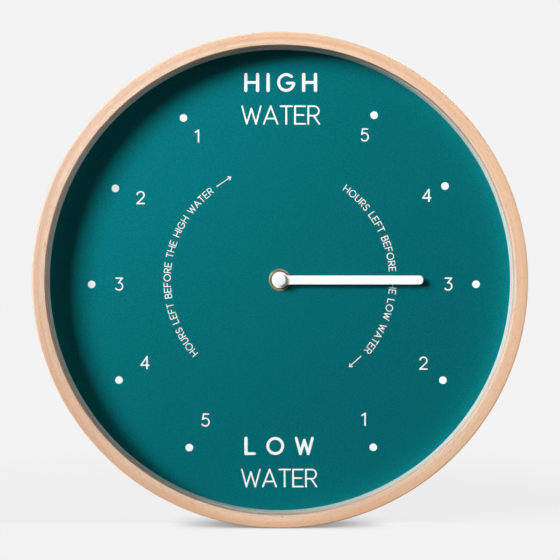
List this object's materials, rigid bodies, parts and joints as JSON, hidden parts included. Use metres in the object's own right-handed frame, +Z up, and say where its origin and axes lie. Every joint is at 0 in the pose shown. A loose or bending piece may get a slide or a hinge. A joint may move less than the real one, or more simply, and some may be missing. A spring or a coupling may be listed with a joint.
{
  "type": "tide clock",
  "caption": "Round wall tide clock: wooden hoop, glass front, painted dial with tide legends, one hand on a geared quartz movement and a keyhole hanger behind.",
  "frame": {"origin": "on the hand's arbor, in the plane of the hoop's rear face, which lies on the wall", "axes": "+Z up, -Y out of the wall towards the viewer, +X to the viewer's right"},
  "size_m": [0.3, 0.045, 0.3],
  "materials": {
    "light_wood": "satin, clear oiled",
    "clear_glass": "polished",
    "pale_lining": "matt",
    "teal_paint": "satin",
    "fibreboard": "raw",
    "zinc_steel": "zinc plated",
    "black_plastic": "fine moulded texture",
    "brass": "turned",
    "black_rubber": "matt",
    "white_paint": "satin",
    "white_plastic": "gloss",
    "gear_plastic": "moulded",
    "dark_magnet": "sintered",
    "core_steel": "bare",
    "copper_wire": "enamelled",
    "circuit_laminate": "lacquered",
    "dark_resin": "gloss",
    "nickel": "plated",
    "battery_jacket": "plain jacket"
  },
  "bodies": {
    "clock": {"wood_hoop": "light_wood", "front_glass": "clear_glass", "lining_ring": "pale_lining", "dial_plate": "teal_paint", "dial_board": "fibreboard", "retaining_brackets": "zinc_steel", "bracket_screws": "zinc_steel", "hanger_bracket": "zinc_steel", "hanger_screws": "zinc_steel", "movement_case": "black_plastic", "movement_cover": "black_plastic", "threaded_neck": "brass", "rubber_washer": "black_rubber", "front_washer": "brass", "hex_nut": "brass", "stator": "core_steel", "coil_bobbin": "gear_plastic", "coil_winding": "copper_wire", "circuit_board": "circuit_laminate", "quartz_crystal": "nickel", "chip_cover": "dark_resin", "positive_contact": "nickel", "negative_contact": "nickel"},
    "hand": {"tide_wheel": "gear_plastic", "hand_collet": "brass", "tide_hand": "white_paint", "hand_cap": "white_plastic"},
    "intermediate": {"intermediate_wheel": "gear_plastic"},
    "cannon": {"cannon_pinion": "gear_plastic"},
    "setting": {"setting_knob": "gear_plastic"},
    "centre": {"centre_wheel": "gear_plastic"},
    "third": {"third_wheel": "gear_plastic"},
    "fourth": {"fourth_wheel": "gear_plastic"},
    "fifth": {"fifth_wheel": "gear_plastic"},
    "rotor": {"rotor_pinion": "gear_plastic", "rotor_magnet": "dark_magnet"},
    "cell": {"battery": "battery_jacket"}
  },
  "joints": [
    {"name": "tide_hand_turn", "type": "hinge", "parent": "clock", "child": "hand", "pos_m": [0, -0.012, 0], "axis": [0, 1, 0], "continuous": true},
    {"name": "intermediate_wheel_turn", "type": "hinge", "parent": "clock", "child": "intermediate", "pos_m": [-0.00181, -0.012, 0.01024], "axis": [0, 1, 0], "continuous": true},
    {"name": "cannon_pinion_turn", "type": "hinge", "parent": "clock", "child": "cannon", "pos_m": [0, -0.012, 0], "axis": [0, 1, 0], "continuous": true},
    {"name": "setting_knob_turn", "type": "hinge", "parent": "clock", "child": "setting", "pos_m": [-0.01204, -0.012, 0.01299], "axis": [0, 1, 0], "continuous": true},
    {"name": "rotor_turn", "type": "hinge", "parent": "clock", "child": "rotor", "pos_m": [0.01369, -0.012, 0.01586], "axis": [0, 1, 0], "continuous": true},
    {"name": "fifth_wheel_turn", "type": "hinge", "parent": "clock", "child": "fifth", "pos_m": [0.01416, -0.012, 0.01048], "axis": [0, 1, 0], "continuous": true},
    {"name": "fourth_wheel_turn", "type": "hinge", "parent": "clock", "child": "fourth", "pos_m": [0.01525, -0.012, 0.00428], "axis": [0, 1, 0], "continuous": true},
    {"name": "third_wheel_turn", "type": "hinge", "parent": "clock", "child": "third", "pos_m": [0.00846, -0.012, 0.00308], "axis": [0, 1, 0], "continuous": true},
    {"name": "centre_wheel_turn", "type": "hinge", "parent": "clock", "child": "centre", "pos_m": [0, -0.012, 0], "axis": [0, 1, 0], "continuous": true},
    {"name": "battery_slide", "type": "slide", "parent": "clock", "child": "cell", "axis": [0, 1, 0], "range_m": [0, 0.02]}
  ],
  "couplings": [
    {"joint": "intermediate_wheel_turn", "follows": "tide_hand_turn", "ratio": -3.3333},
    {"joint": "cannon_pinion_turn", "follows": "tide_hand_turn", "ratio": 12.424},
    {"joint": "setting_knob_turn", "follows": "tide_hand_turn", "ratio": 11.389},
    {"joint": "fifth_wheel_turn", "follows": "rotor_turn", "ratio": -0.2},
    {"joint": "fourth_wheel_turn", "follows": "rotor_turn", "ratio": 0.033333},
    {"joint": "third_wheel_turn", "follows": "rotor_turn", "ratio": -0.005},
    {"joint": "centre_wheel_turn", "follows": "rotor_turn", "ratio": 0.00055556}
  ]
}
